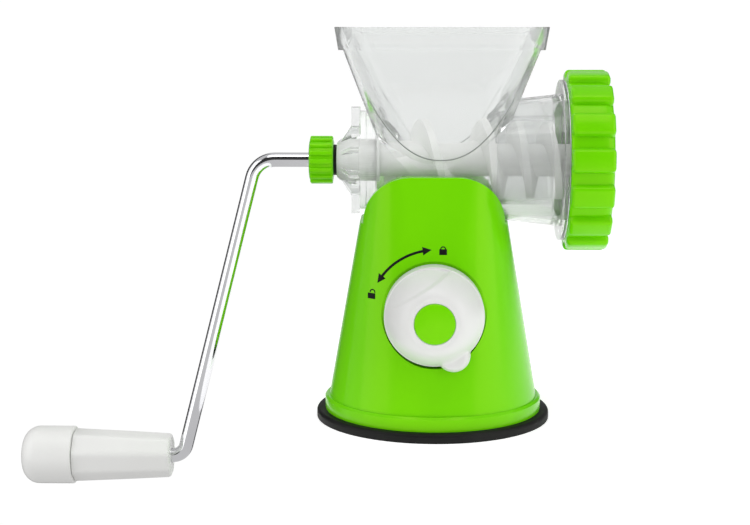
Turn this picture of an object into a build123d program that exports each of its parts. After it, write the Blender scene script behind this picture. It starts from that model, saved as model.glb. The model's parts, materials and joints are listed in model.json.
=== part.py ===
"""Hand crank meat grinder on a suction base.

Millimetres, +Z up. The origin is the centre of the suction pad's underside, +X runs along the barrel
towards the outlet, and the suction knob faces -Y. The crank hangs straight down.
"""
import os
from math import atan, cos, pi, radians, sin, sqrt, tan

from build123d import *

os.makedirs("parts", exist_ok=True)

# ---- Gaps ----
running_gap = 0.05  # radial, a shaft in its bush
moving_gap = 0.4  # between pieces that pass each other
face_gap = 0.2  # between flat faces that turn on each other
fit_gap = 0.02  # radial, pieces pressed or screwed together

# ---- Suction base ----
pad_radius = 65.0
pad_thickness = 5.0
pad_round = 2.0
pad_lip_height = 3.0
skirt_inset = 4.7
skirt_height = 7.7
skirt_chamfer = 1.2
cone_inset = 2.6
cone_angle = 10.0
cone_foot_flat = 1.7
shell_top_corner = 20.0
shell_wall = 2.5
shell_height = 137.0
arch_spare = 2.6
arch_corner = 26.0

# ---- Barrel and hopper, one clear moulding ----
axis_rise = 6.5  # above the housing's top
barrel_spare = 6.6  # outside over the feed bore, at X = 0
mouth_wall = 3.3
barrel_wall = 2.8
collar_inset = 2.4  # rear collar's front face inside the housing's end
rear_collar_rise = 2.4  # over the barrel it stands on
rear_collar = 2.0
saddle_groove = 1.9
nose_plate = 3.3
nose_length = 12.7
nose_tip_wall = 1.5
nose_foot_wall = 7.0
nose_edge = 1.4
nose_shoulder = 6.5
nose_rib_start = 8.0
nose_rib_count = 8
nose_rib_radius = 20.0
nose_rib_thickness = 2.0
lug_rise = 2.0  # over the rear collar
lug_width = 11.0
lug_length = 4.7
feed_bore = 22.0
feed_wall = 2.5
feed_inset = 2.5
feed_front = 64.0
mouth_collar = 68.5
mouth_collar_width = 4.6
mouth_collar_thickness = 2.5
thread_wall = 2.4
thread_height = 1.5
thread_pitch = 4.0
thread_foot_half = 1.5
thread_crest_half = 0.6
thread_sink = 0.6
mouth_front = 84.0
plate_ledge = 4.0

hopper_x = 3.4
throat_half_x = 27.2
throat_inset = 0.2  # inside the barrel's outside and its bore, along Y
throat_corner = 20.0
funnel_half = (52.0, 43.0)
funnel_rise = 67.0
funnel_corner = 12.0
rim_half = (56.5, 47.5)
rim_step = 2.0
rim_rise = 12.0
hopper_wall = 2.8
feed_gap_start = 3.0  # in front of the throat, where the feed sleeve stands free

# ---- Feed screw, knife and plate ----
screw_pitch = 17.0  # near the outlet
feed_pitch = 34.0  # under the hopper
feed_turns = 1.5
screw_inset = 8.0
screw_core = 9.0
flight_root = 3.6  # half thickness at the core
flight_rim = 1.9
plate_radius = 37.0
plate_thickness = 5.0
plate_seat = 3.0
plate_hole = 2.0
plate_rings = 4
plate_first_ring = 9.3
plate_ring_step = 6.3
plate_ring_holes = 6  # more in each ring than in the last
plate_key = 4.0
knife_thickness = 4.0
knife_tip_gap = 4.0
knife_root_half = 4.2
knife_tip_back = 2.4
knife_tip_edge = 4.6
knife_hub = 9.0
knife_gap = 2.4  # between the feed screw and the knife
knife_square = 8.0
pin_end_radius = 3.9
spindle_wall = 2.0
bush_wall = 2.0
bush_flange = 4.0
washer_thickness = 1.0
knife_socket_depth = 14.0
spindle_grip = 26.0  # how far the spindle runs into the feed screw
spindle_socket_depth = 10.0

# ---- Ring nut ----
nut_wall = 7.5
nut_lobes = 15
nut_lobe_depth = 4.0
nut_length = 23.1
nut_valley_half = 3.7
nut_valley_mouth_half = 6.3
nut_valley_round = 1.3
nut_thread_gap = 0.9
first_lobe = 4.5  # degrees above -Y

# ---- Crank ----
rod_radius = 4.0
crank_neck = 29.3
crank_reach = 43.6
crank_throw = 168.8
elbow_bend = 13.0
grip_bend = 8.0
crank_nut_wall = 7.2
crank_nut_length = 13.3
crank_nut_ribs = 16
crank_nut_floor = 2.0
crank_collar = 2.2
socket_share = 1.38  # side of the square socket over the rod's radius
socket_bite = 9.5
seal_width = 2.4
seal_thickness = 1.8
grip_offset = 6.8
sleeve_length = 55.0
sleeve_small = 25.6
sleeve_large = 30.9
sleeve_edge = 1.6
cap_radius = 16.35
cap_length = 29.3
cap_round = 9.5
grip_recess = 13.5
spigot_radius = 9.9
spigot_wall = 2.4
spigot_spare = 5.0  # left free in front of the spigot
cap_hollow = 8.0
washer_lip = 2.8
grip_washer_thickness = 1.2
rod_past_washer = 3.6

# ---- Suction knob and its lift ----
knob_height = 65.5
knob_radius = 26.5
knob_pocket = 28.0
pocket_depth = 1.0  # at the top of the pocket
knob_depth = 11.5
knob_rise = 20.0
knob_nose_radius = 12.6
lug_reach = 21.5
finger_lug = 8.5
finger_lug_height = 5.5
finger_lug_lift = 0.6
knob_wall = 2.6
knob_hub_wall = 3.2
knob_web = 3.0
knob_edge = 0.8
knob_nose_edge = 0.6
knob_recess = 3.0
lug_angle = -63.0
cap_disc_radius = 10.6
cap_disc_edge = 0.4
cap_disc_crown = 1.6
cam_shaft_radius = 5.0
shaft_flat = 1.2  # taken off the shaft for the knob
shaft_past_cheek = 4.0
shaft_past_knob = 2.0
shaft_screw_depth = 9.0
key_radius = 1.5
key_inset = 1.0
clip_groove = 1.2
clip_groove_depth = 1.0
clip_thickness = 1.0
clip_rise = 2.2
lift = 4.0
cam_base = 8.0
cam_thickness = 7.0
cheek_gap = 24.0
cheek_thickness = 3.0
cheek_side = 4.0
cheek_top = 3.0
mechanism_height = 30.0
mechanism_plate_thickness = 2.5
boss_inset = 9.2
boss_radius = 4.5
boss_hole_depth = 12.0
boss_screw_bite = 10.0
stem_radius = 4.0
stem_head_radius = 14.0
stem_head_thickness = 2.2
yoke_bar = 5.0
window_spare = 2.5
yoke_thickness = 6.0
yoke_collar = 2.5
yoke_corner = 3.0
jam_nut_thickness = 3.6
jam_nut_wall = 3.0
stem_past_nut = 1.0
stem_chamfer = 0.6
spring_radius = 8.5
spring_wire = 1.6
spring_pitch = 4.6
spring_gap = 0.1
screw_radius = 2.0
screw_head = 3.6
screw_head_height = 2.4
screw_head_taper = 12.0
screw_clearance = 0.3
slot_length = 3.4
slot_width = 0.8
slot_depth = 1.2
barrel_screw_places = (-12.0, 20.0)  # along X
barrel_screw_wall = 1.4
barrel_screw_tip_gap = 0.85
barrel_screw_floor = 0.8  # left between the screw's hole and the feed bore
knob_screw_length = 8.0

# ---- Places that follow from the sizes above ----
shell_foot = pad_thickness
cone_foot = shell_foot + skirt_height
skirt_radius = pad_radius - skirt_inset
cone_foot_radius = skirt_radius - cone_inset
spindle_radius = rod_radius + spindle_wall
axis_height = shell_height + axis_rise
throat_height = shell_height
funnel_height = throat_height + funnel_rise
rim_height = funnel_height + rim_rise
barrel_radius = feed_bore + barrel_spare
chamber_radius = plate_radius - plate_ledge
thread_root = plate_radius + thread_wall
mouth_collar_radius = thread_root + mouth_collar_width
throat_half = (throat_half_x, barrel_radius - throat_inset)
nut_bore = thread_root + thread_height + nut_thread_gap
nut_radius = nut_bore + nut_wall
nut_opening = chamber_radius
barrel_axis = Axis((0, 0, axis_height), (1, 0, 0))
knob_axis = Axis((0, 0, knob_height), (0, 1, 0))
eps = 1.0  # how far a cutting tool runs past what it cuts


def save(part, name):
    """Labels a finished piece and writes it."""
    part.label = name
    export_step(part, f"parts/{name}.step")


def shell_radius(z):
    """Outside radius of the housing's cone at a height."""
    return cone_foot_radius - (z - pad_thickness - skirt_height) * tan(radians(cone_angle))


def shell_section(z, wall=0.0):
    """The housing's cross section at a height: nearly round at the foot, a rounded square at the top."""
    share = (z - cone_foot) / (shell_height - cone_foot)
    foot_corner = cone_foot_radius - cone_foot_flat
    corner = foot_corner + share * (shell_top_corner - foot_corner)
    side = 2 * (shell_radius(z) - wall)
    with BuildSketch(Plane.XY.offset(z), mode=Mode.PRIVATE) as outline:
        RectangleRounded(side, side, corner - wall)
    return outline.sketch


def barrel_outside(x):
    """Outside radius of the barrel's cone."""
    return barrel_radius + (chamber_radius + mouth_wall - barrel_radius) * x / mouth_collar


def turned(points):
    """A solid turned about the barrel axis from (x, radius) points."""
    with BuildPart(mode=Mode.PRIVATE) as work:
        with BuildSketch(Plane.XZ):
            with BuildLine():
                Polyline([(x, axis_height + r) for x, r in points], close=True)
            make_face()
        revolve(axis=barrel_axis)
    return work.part


def knob_turned(points):
    """A solid turned about the knob axis from (distance in front of the middle plane, radius) points."""
    with BuildPart(mode=Mode.PRIVATE) as work:
        with BuildSketch(Plane.YZ):
            with BuildLine():
                Polyline([(-y, knob_height + r) for y, r in points], close=True)
            make_face()
        revolve(axis=knob_axis)
    return work.part


def tube(start, end, outer, inner):
    """A turned tube along the barrel axis."""
    return turned([(start, inner), (end, inner), (end, outer), (start, outer)])


def rod(start, end, radius):
    """A turned rod along the barrel axis."""
    return turned([(start, 0), (end, 0), (end, radius), (start, radius)])


# ---- Stations along the barrel ----
arch_width = 2 * (shell_radius(shell_height) + arch_spare)
collar_front = collar_inset - shell_radius(shell_height)
collar_rear = collar_front - rear_collar
groove_rear = collar_rear - saddle_groove
nose_foot = groove_rear - nose_plate
rear_collar_radius = barrel_outside(collar_rear) + rear_collar_rise
lug_radius = rear_collar_radius + lug_rise
nose_tip = nose_foot - nose_length
nose_tip_radius = spindle_radius + bush_wall + nose_tip_wall
nose_foot_radius = spindle_radius + bush_wall + nose_foot_wall
feed_rear = collar_front + feed_inset
nut_rear = mouth_collar + mouth_collar_thickness + moving_gap
nut_front = nut_rear + nut_length
plate_rear = mouth_front - plate_seat
plate_front = plate_rear + plate_thickness
nut_shoulder = plate_front + face_gap
bush_front = feed_rear + bush_flange / 2
screw_rear = bush_front + face_gap + washer_thickness
knife_front = plate_rear - face_gap
screw_front = knife_front - knife_thickness - knife_gap
screw_start = feed_rear + screw_inset
pitch_change = screw_start + feed_turns * feed_pitch
screw_turns = (screw_front - flight_root - pitch_change) / screw_pitch
seal_front = nose_tip - face_gap / 2
seal_rear = seal_front - seal_thickness
crank_nut_rear = seal_rear - crank_nut_length
crank_nut_radius = spindle_radius + crank_nut_wall
seal_radius = spindle_radius + seal_width
crank_elbow = crank_nut_rear - crank_neck
grip_elbow = crank_elbow - crank_reach
grip_height = axis_height - crank_throw
grip_start = grip_elbow - grip_offset
collar_face = crank_nut_rear + crank_nut_floor
spindle_rear = collar_face + crank_collar
spindle_front = screw_rear + spindle_grip
socket = socket_share * rod_radius
sleeve_end = grip_start - sleeve_length
recess_floor = sleeve_end + grip_recess
rod_end = recess_floor - rod_past_washer
plate_top = mechanism_height + mechanism_plate_thickness
boss_spots = PolarLocations(shell_radius(plate_top) - boss_inset, 4, start_angle=45)
pocket_floor = shell_radius(knob_height + knob_pocket) - pocket_depth
knob_face = pocket_floor + knob_depth
knob_back = pocket_floor + 2 * face_gap
knob_front = knob_face + knob_rise
shaft_front = knob_face + shaft_past_knob
shaft_rear = -(cheek_gap / 2 + cheek_thickness + shaft_past_cheek)
flat_start = pocket_floor + face_gap
groove_face = -(cheek_gap / 2 + cheek_thickness + face_gap)
cam_rate = lift / (pi / 2)
cam_top = sqrt(cam_base**2 + cam_rate**2) + cam_rate * atan(cam_rate / cam_base)
window_top = knob_height + cam_top + moving_gap
window_floor = knob_height - cam_base - 2 * lift - window_spare
window_half = cam_base + 2 * lift
stem_top = window_floor + jam_nut_thickness + stem_past_nut
flight_radius = feed_bore - moving_gap
knife_tip = chamber_radius - knife_tip_gap
knife_hole = knife_square + 2 * fit_gap
throat_inside = (throat_half[0] - hopper_wall, feed_bore - throat_inset)
rim_foot = (rim_half[0] - rim_step, rim_half[1] - rim_step)
gap_start = hopper_x + throat_half[0] + feed_gap_start
rear_screw_depth = barrel_outside(barrel_screw_places[0]) - feed_bore - barrel_screw_floor
barrel_screw_bite = rear_screw_depth - barrel_screw_tip_gap


def flight(start, pitch, turns):
    """One helical flight that leaves its start at the top of the core."""
    depth = flight_radius - screw_core + eps
    with BuildPart(mode=Mode.PRIVATE) as work:
        with BuildLine() as path:
            Helix(
                pitch=pitch,
                height=turns * pitch,
                radius=flight_radius,
                center=(start, 0, axis_height),
                direction=(1, 0, 0),
            )
        with BuildSketch(Plane(origin=path.line @ 0, x_dir=(0, 0, 1), z_dir=(0, -1, 0))):
            Polygon(
                (-depth, -flight_root),
                (0, -flight_rim),
                (0, flight_rim),
                (-depth, flight_root),
                align=None,
            )
        sweep(path=path.line, is_frenet=True)
    return work.part


# ---- Suction pad: rubber disc with an inner lip and a pocket for the stem's head ----
with BuildPart() as suction_pad:
    Cylinder(pad_radius, pad_thickness, align=(Align.CENTER, Align.CENTER, Align.MIN))
    fillet(suction_pad.edges().filter_by(GeomType.CIRCLE).sort_by(Axis.Z)[-1], pad_round)
    with BuildSketch(Plane.XY.offset(pad_thickness)):
        Circle(skirt_radius - shell_wall - face_gap)
        Circle(skirt_radius - 2 * shell_wall - face_gap, mode=Mode.SUBTRACT)
    extrude(amount=pad_lip_height)
    with BuildSketch(Plane.XY.offset(pad_thickness)):
        Circle(stem_head_radius + moving_gap)
    extrude(amount=-stem_head_thickness - face_gap, mode=Mode.SUBTRACT)
save(suction_pad.part, "suction_pad")

# ---- Housing: cone with a skirt, arched top, saddle for the barrel, pocket for the knob ----
with BuildPart() as saddle:
    add(
        turned(
            [
                (nose_tip, 0),
                (nose_tip, nose_rib_radius + moving_gap),
                (nose_foot - lug_length, lug_radius + moving_gap),
                (nose_foot, lug_radius + moving_gap),
                (groove_rear + moving_gap / 2, lug_radius + moving_gap),
                (groove_rear + moving_gap / 2, barrel_outside(groove_rear) + moving_gap),
                (collar_rear - moving_gap / 2, barrel_outside(collar_rear) + moving_gap),
                (collar_rear - moving_gap / 2, rear_collar_radius + moving_gap),
                (collar_front + moving_gap, rear_collar_radius + moving_gap),
                (collar_front + moving_gap, barrel_outside(collar_front) + face_gap),
                (mouth_collar, barrel_outside(mouth_collar) + face_gap),
                (mouth_collar, 0),
            ]
        )
    )

with BuildPart() as saddle_wall:
    add(
        turned(
            [
                (groove_rear - eps, 0),
                (groove_rear - eps, rear_collar_radius + moving_gap + shell_wall),
                (collar_front + moving_gap + shell_wall, rear_collar_radius + moving_gap + shell_wall),
                (collar_front + moving_gap + shell_wall, barrel_outside(collar_front) + shell_wall),
                (mouth_collar, barrel_outside(mouth_collar) + face_gap + shell_wall),
                (mouth_collar, 0),
            ]
        )
    )
    for x in barrel_screw_places:
        with BuildSketch(Plane.XY.offset(axis_height - barrel_outside(x) - 2 * shell_wall)):
            with Locations((x, 0)):
                Circle(screw_head + barrel_screw_wall)
        extrude(amount=barrel_outside(x))

with BuildPart() as cavity:
    loft([shell_section(cone_foot, shell_wall), shell_section(shell_height, shell_wall)])
    with BuildSketch(Plane.XZ):
        with BuildLine():
            Polyline(
                (0, shell_foot - eps),
                (skirt_radius - shell_wall, shell_foot - eps),
                (skirt_radius - shell_wall, cone_foot - shell_wall),
                (shell_radius(cone_foot) - shell_wall, cone_foot + 0.1),
                (0, cone_foot + 0.1),
                close=True,
            )
        make_face()
    revolve(axis=Axis.Z)
    with BuildSketch(Plane.XZ):
        with Locations((0, (shell_height - shell_wall) / 2)):
            Rectangle(arch_width - 2 * shell_wall, shell_height - shell_wall)
        Rectangle(2 * skirt_radius, 2 * (shell_height - arch_corner - shell_wall))
        fillet(vertices().sort_by(Axis.Y)[-2:], arch_corner - shell_wall)
    extrude(amount=skirt_radius, both=True, mode=Mode.INTERSECT)
    add(saddle_wall.part, mode=Mode.SUBTRACT)
    with BuildSketch(Plane.XZ.offset(pocket_floor - shell_wall)):
        with Locations((0, knob_height)):
            Circle(knob_pocket + shell_wall)
    extrude(amount=skirt_radius, mode=Mode.SUBTRACT)
    with BuildSketch(Plane.XY.offset(plate_top)):
        with boss_spots:
            Circle(boss_radius)
    extrude(amount=shell_height, mode=Mode.SUBTRACT)

with BuildPart() as base_shell:
    loft([shell_section(cone_foot), shell_section(shell_height)])
    with BuildSketch(Plane.XZ):
        with BuildLine():
            Polyline(
                (0, shell_foot),
                (skirt_radius, shell_foot),
                (skirt_radius, cone_foot - skirt_chamfer),
                (skirt_radius - skirt_chamfer, cone_foot),
                (0, cone_foot),
                close=True,
            )
        make_face()
    revolve(axis=Axis.Z)
    with BuildSketch(Plane.XZ):
        with Locations((0, shell_height / 2)):
            Rectangle(arch_width, shell_height)
        Rectangle(2 * skirt_radius, 2 * (shell_height - arch_corner))
        fillet(vertices().sort_by(Axis.Y)[-2:], arch_corner)
    extrude(amount=skirt_radius, both=True, mode=Mode.INTERSECT)
    add(cavity.part, mode=Mode.SUBTRACT)
    add(saddle.part, mode=Mode.SUBTRACT)
    with BuildSketch(Plane.XZ.offset(pocket_floor)):
        with Locations((0, knob_height)):
            Circle(knob_pocket)
    extrude(amount=skirt_radius, mode=Mode.SUBTRACT)
    with BuildSketch(Plane.XZ.offset(pocket_floor - 2 * shell_wall)):
        with Locations((0, knob_height)):
            Circle(cam_shaft_radius + bush_wall)
    extrude(amount=4 * shell_wall, mode=Mode.SUBTRACT)
    with BuildSketch(Plane.XY.offset(plate_top)):
        with boss_spots:
            Circle(screw_radius)
    extrude(amount=boss_hole_depth, mode=Mode.SUBTRACT)
    for x in barrel_screw_places:
        with BuildSketch(Plane.XY.offset(axis_height - barrel_outside(x) - 4 * shell_wall)):
            with Locations((x, 0)):
                Circle(screw_radius)
        extrude(amount=6 * shell_wall, mode=Mode.SUBTRACT)
save(base_shell.part, "base_shell")


# ---- Hopper and barrel ----
def rounded_box(z, half, corner):
    """A rounded rectangle across the hopper at a height."""
    with BuildSketch(Plane.XY.offset(z), mode=Mode.PRIVATE) as outline:
        with Locations((hopper_x, 0)):
            RectangleRounded(2 * half[0], 2 * half[1], corner)
    return outline.sketch


def inset(half, wall):
    """Half sizes of an opening inside a wall."""
    return half[0] - wall, half[1] - wall


with BuildPart() as funnel_space:
    neck = rounded_box(axis_height, throat_inside, throat_corner - hopper_wall)
    waist = rounded_box(funnel_height, inset(funnel_half, hopper_wall), funnel_corner - hopper_wall)
    brim = rounded_box(rim_height, inset(rim_half, hopper_wall), funnel_corner)
    loft([neck, waist])
    loft([waist, brim])

with BuildPart() as hopper_body:
    throat = rounded_box(throat_height, throat_half, throat_corner)
    shoulder = rounded_box(funnel_height, funnel_half, funnel_corner)
    collar_foot = rounded_box(funnel_height, rim_foot, funnel_corner + rim_step)
    collar_top = rounded_box(rim_height, rim_half, funnel_corner + 2 * rim_step)
    loft([throat, shoulder])
    loft([collar_foot, collar_top])
    add(
        turned(
            [
                (nose_tip, 0),
                (nose_tip, nose_tip_radius),
                (nose_tip + nose_edge, nose_tip_radius + nose_edge),
                (nose_tip + nose_shoulder, nose_foot_radius - nose_edge),
                (nose_foot, nose_foot_radius),
                (nose_foot, rear_collar_radius),
                (groove_rear, rear_collar_radius),
                (groove_rear, barrel_outside(groove_rear)),
                (collar_rear, barrel_outside(collar_rear)),
                (collar_rear, rear_collar_radius),
                (collar_front, rear_collar_radius),
                (collar_front, barrel_outside(collar_front)),
                (mouth_collar, barrel_outside(mouth_collar)),
                (mouth_collar, mouth_collar_radius),
                (mouth_collar + mouth_collar_thickness, mouth_collar_radius),
                (mouth_collar + mouth_collar_thickness, thread_root),
                (mouth_front, thread_root),
                (mouth_front, 0),
            ]
        )
    )
    for step in range(nose_rib_count):
        with BuildPart(mode=Mode.PRIVATE) as rib:
            with BuildSketch(Plane.XZ):
                with BuildLine():
                    Polyline(
                        (nose_tip + nose_edge, axis_height + nose_tip_radius),
                        (nose_tip + nose_rib_start, axis_height + nose_rib_radius),
                        (nose_foot, axis_height + nose_rib_radius),
                        (nose_foot, axis_height + nose_tip_radius),
                        close=True,
                    )
                make_face()
            extrude(amount=nose_rib_thickness / 2, both=True)
        add(rib.part.rotate(barrel_axis, (step + 0.5) * 360 / nose_rib_count))
    with BuildSketch(Plane.YZ.offset(nose_foot - lug_length)):
        with Locations((0, axis_height)):
            Rectangle(lug_width, 2 * lug_radius)
    extrude(amount=lug_length)
    thread_run = mouth_front - mouth_collar - mouth_collar_thickness - 2 * thread_pitch
    with BuildLine(mode=Mode.PRIVATE) as ridge_path:
        Helix(
            pitch=thread_pitch,
            height=thread_run + thread_pitch,
            radius=thread_root,
            center=(mouth_collar + mouth_collar_thickness + 0.6 * thread_pitch, 0, axis_height),
            direction=(1, 0, 0),
        )
    ridge_start = ridge_path.line @ 0
    with BuildSketch(Plane(origin=ridge_start, x_dir=(0, 0, 1), z_dir=(0, -1, 0))):
        Polygon(
            (-thread_sink, -thread_foot_half),
            (thread_height, -thread_crest_half),
            (thread_height, thread_crest_half),
            (-thread_sink, thread_foot_half),
            align=None,
        )
    sweep(path=ridge_path.line, is_frenet=True)
    add(funnel_space.part, mode=Mode.SUBTRACT)
    add(
        turned(
            [
                (nose_tip - eps, 0),
                (nose_tip - eps, spindle_radius + bush_wall),
                (feed_rear, spindle_radius + bush_wall),
                (feed_rear, feed_bore),
                (feed_front, feed_bore),
                (feed_front, feed_bore + feed_wall),
                (gap_start, feed_bore + feed_wall),
                (gap_start, barrel_outside(gap_start) - barrel_wall),
                (feed_front, chamber_radius),
                (plate_rear, chamber_radius),
                (plate_rear, plate_radius + face_gap / 2),
                (mouth_front + eps, plate_radius + face_gap / 2),
                (mouth_front + eps, 0),
            ]
        ),
        mode=Mode.SUBTRACT,
    )
    with BuildSketch(Plane.YZ.offset(plate_rear)):
        with Locations((0, axis_height + plate_radius)):
            Rectangle(plate_key - face_gap, plate_key)
    extrude(amount=plate_seat)
    for x in barrel_screw_places:
        with BuildSketch(Plane.XY.offset(axis_height - barrel_outside(x) - eps)):
            with Locations((x, 0)):
                Circle(screw_radius)
        extrude(amount=barrel_outside(x) - feed_bore - barrel_screw_floor + eps, mode=Mode.SUBTRACT)
save(hopper_body.part, "hopper_body")


# ---- Fasteners ----
def pan_screws(places, head_z, length):
    """Pan head screws that point up, from the underside of their heads' seats."""
    with BuildPart(mode=Mode.PRIVATE) as work:
        for (x, y), z in zip(places, head_z):
            with BuildSketch(Plane.XY.offset(z)):
                with Locations((x, y)):
                    Circle(screw_head)
            extrude(amount=-screw_head_height, taper=screw_head_taper)
            with BuildSketch(Plane.XY.offset(z)):
                with Locations((x, y)):
                    Circle(screw_radius - fit_gap)
            extrude(amount=length)
            with BuildSketch(Plane.XY.offset(z - screw_head_height)):
                with Locations((x, y)):
                    Rectangle(slot_length, slot_width)
                    Rectangle(slot_width, slot_length)
            extrude(amount=slot_depth, mode=Mode.SUBTRACT)
    return work.part


with BuildPart() as barrel_screws:
    seats = [axis_height - barrel_outside(x) - 2 * shell_wall for x in barrel_screw_places]
    add(pan_screws([(x, 0) for x in barrel_screw_places], seats, 2 * shell_wall + barrel_screw_bite))
save(barrel_screws.part, "barrel_screws")

with BuildPart() as plate_screws:
    corners = [(spot.position.X, spot.position.Y) for spot in boss_spots.locations]
    add(pan_screws(corners, [mechanism_height] * 4, mechanism_plate_thickness + boss_screw_bite))
save(plate_screws.part, "plate_screws")

# ---- Mechanism plate with two cheeks for the cam shaft ----
with BuildPart() as mechanism_plate:
    with BuildSketch(Plane.XY.offset(mechanism_height)):
        Circle(shell_radius(plate_top) - shell_wall - moving_gap)
        Circle(stem_radius + moving_gap, mode=Mode.SUBTRACT)
        with boss_spots:
            Circle(screw_radius + screw_clearance, mode=Mode.SUBTRACT)
    extrude(amount=mechanism_plate_thickness)
    for side in (-1, 1):
        middle = side * (cheek_gap + cheek_thickness) / 2
        with BuildSketch(Plane.XZ.offset(-middle)):
            with BuildLine():
                Polyline(
                    (-window_half, mechanism_height + 1),
                    (window_half, mechanism_height + 1),
                    (cam_shaft_radius + cheek_side, knob_height + cam_shaft_radius + cheek_top),
                    (-cam_shaft_radius - cheek_side, knob_height + cam_shaft_radius + cheek_top),
                    close=True,
                )
            make_face()
            with Locations((0, knob_height)):
                Circle(cam_shaft_radius + running_gap, mode=Mode.SUBTRACT)
        extrude(amount=cheek_thickness / 2, both=True)
save(mechanism_plate.part, "mechanism_plate")

# ---- Cam shaft, with a flat for the knob, and the cam that lifts the yoke ----
with BuildPart() as cam_shaft:
    with BuildSketch(Plane.XZ.offset(shaft_rear)):
        with Locations((0, knob_height)):
            Circle(cam_shaft_radius)
    extrude(amount=shaft_front - shaft_rear)
    with BuildSketch(Plane.XZ.offset(flat_start)):
        with Locations((0, knob_height + cam_shaft_radius)):
            Rectangle(3 * cam_shaft_radius, 2 * shaft_flat)
    extrude(amount=shaft_front - flat_start + eps, mode=Mode.SUBTRACT)
    with BuildSketch(Plane.XZ.offset(shaft_front - shaft_screw_depth)):
        with Locations((0, knob_height)):
            Circle(screw_radius)
    extrude(amount=shaft_screw_depth + eps, mode=Mode.SUBTRACT)
    with BuildSketch(Plane.YZ.offset(-cam_base)):
        with Locations((0, knob_height)):
            Circle(key_radius)
    extrude(amount=2 * cam_base, mode=Mode.SUBTRACT)
    with BuildSketch(Plane.XZ.offset(groove_face)):
        with Locations((0, knob_height)):
            Circle(cam_shaft_radius + eps)
            Circle(cam_shaft_radius - clip_groove_depth, mode=Mode.SUBTRACT)
    extrude(amount=-clip_groove, mode=Mode.SUBTRACT)
save(cam_shaft.part, "cam_shaft")


def cam_point(turn):
    """A point of the cam's spiral, at an angle from +Z towards -X."""
    r = cam_base + cam_rate * radians(turn)
    return -r * sin(radians(turn)), knob_height + r * cos(radians(turn))


with BuildPart() as cam:
    with BuildSketch(Plane.XZ.offset(-cam_thickness / 2)):
        with BuildLine():
            rise = Spline([cam_point(turn) for turn in range(-20, 121, 10)])
            ThreePointArc(rise @ 1, (cam_base * 0.75, knob_height - cam_base * 0.6), rise @ 0)
        make_face()
        with Locations((0, knob_height)):
            Circle(cam_shaft_radius + fit_gap, mode=Mode.SUBTRACT)
    extrude(amount=cam_thickness)
    with BuildSketch(Plane.YZ.offset(-2 * cam_base)):
        with Locations((0, knob_height)):
            Circle(key_radius)
    extrude(amount=4 * cam_base, mode=Mode.SUBTRACT)
save(cam.part, "cam")

with BuildPart() as cam_pin:
    with BuildSketch(Plane.YZ.offset(-cam_base + key_inset)):
        with Locations((0, knob_height)):
            Circle(key_radius - fit_gap)
    extrude(amount=2 * cam_base - 2.5 * key_inset)
save(cam_pin.part, "cam_pin")

with BuildPart() as shaft_clip:
    with BuildSketch(Plane.XZ.offset(groove_face - (clip_groove - clip_thickness) / 2)):
        with Locations((0, knob_height)):
            Circle(cam_shaft_radius + clip_rise)
            Circle(cam_shaft_radius - clip_groove_depth + running_gap, mode=Mode.SUBTRACT)
        with Locations((0, knob_height - cam_shaft_radius)):
            Rectangle(2 * cam_shaft_radius - 3, 2 * cam_shaft_radius, mode=Mode.SUBTRACT)
    extrude(amount=-clip_thickness)
save(shaft_clip.part, "shaft_clip")

with BuildPart() as knob_bush:
    add(
        knob_turned(
            [
                (pocket_floor - 2 * shell_wall, cam_shaft_radius + running_gap),
                (pocket_floor, cam_shaft_radius + running_gap),
                (pocket_floor, cam_shaft_radius + bush_wall),
                (pocket_floor - shell_wall, cam_shaft_radius + bush_wall),
                (pocket_floor - shell_wall, cam_shaft_radius + 2 * bush_wall),
                (pocket_floor - 2 * shell_wall, cam_shaft_radius + 2 * bush_wall),
            ]
        )
    )
save(knob_bush.part, "knob_bush")

# ---- Suction knob: domed disc with a finger lug and a recess for its cap ----
with BuildPart() as suction_knob:
    with BuildSketch(Plane.YZ):
        with BuildLine():
            Polyline(
                (-knob_face, knob_height + knob_radius - knob_edge),
                (-knob_face + knob_edge, knob_height + knob_radius),
                (-knob_back, knob_height + knob_radius),
                (-knob_back, knob_height),
                (-knob_front, knob_height),
                (-knob_front, knob_height + knob_nose_radius - knob_nose_edge),
                (-knob_front + knob_nose_edge, knob_height + knob_nose_radius),
            )
            ThreePointArc(
                (-knob_front + knob_nose_edge, knob_height + knob_nose_radius),
                (-knob_face - 0.5 * knob_rise, knob_height + 0.84 * knob_radius),
                (-knob_face, knob_height + knob_radius - knob_edge),
            )
        make_face()
    revolve(axis=knob_axis)
    add(
        knob_turned(
            [
                (knob_back - eps, cam_shaft_radius + knob_hub_wall),
                (knob_face - knob_web, cam_shaft_radius + knob_hub_wall),
                (knob_face - knob_web, knob_radius - 2 * knob_wall),
                (knob_back - eps, knob_radius - knob_wall),
            ]
        ),
        mode=Mode.SUBTRACT,
    )
    lug_spot = (
        lug_reach * cos(radians(lug_angle)),
        knob_height + lug_reach * sin(radians(lug_angle)),
    )
    with BuildSketch(Plane.XZ.offset(knob_face + finger_lug_lift)):
        with Locations(lug_spot):
            Circle(finger_lug)
    extrude(amount=finger_lug_height)
    with BuildSketch(Plane.XZ.offset(knob_front - knob_recess)):
        with Locations((0, knob_height)):
            Circle(cap_disc_radius + face_gap / 2)
    extrude(amount=knob_recess + eps, mode=Mode.SUBTRACT)
    with BuildSketch(Plane.XZ.offset(shaft_front)):
        with Locations((0, knob_height)):
            Circle(screw_head + moving_gap)
    extrude(amount=knob_front - shaft_front, mode=Mode.SUBTRACT)
    with BuildSketch(Plane.XZ.offset(knob_back - eps)):
        with Locations((0, knob_height)):
            Circle(cam_shaft_radius + fit_gap)
        with Locations((0, knob_height + cam_shaft_radius)):
            Rectangle(3 * cam_shaft_radius, 2 * (shaft_flat - fit_gap), mode=Mode.SUBTRACT)
    extrude(amount=shaft_front - knob_back + eps, mode=Mode.SUBTRACT)
save(suction_knob.part, "suction_knob")

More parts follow.
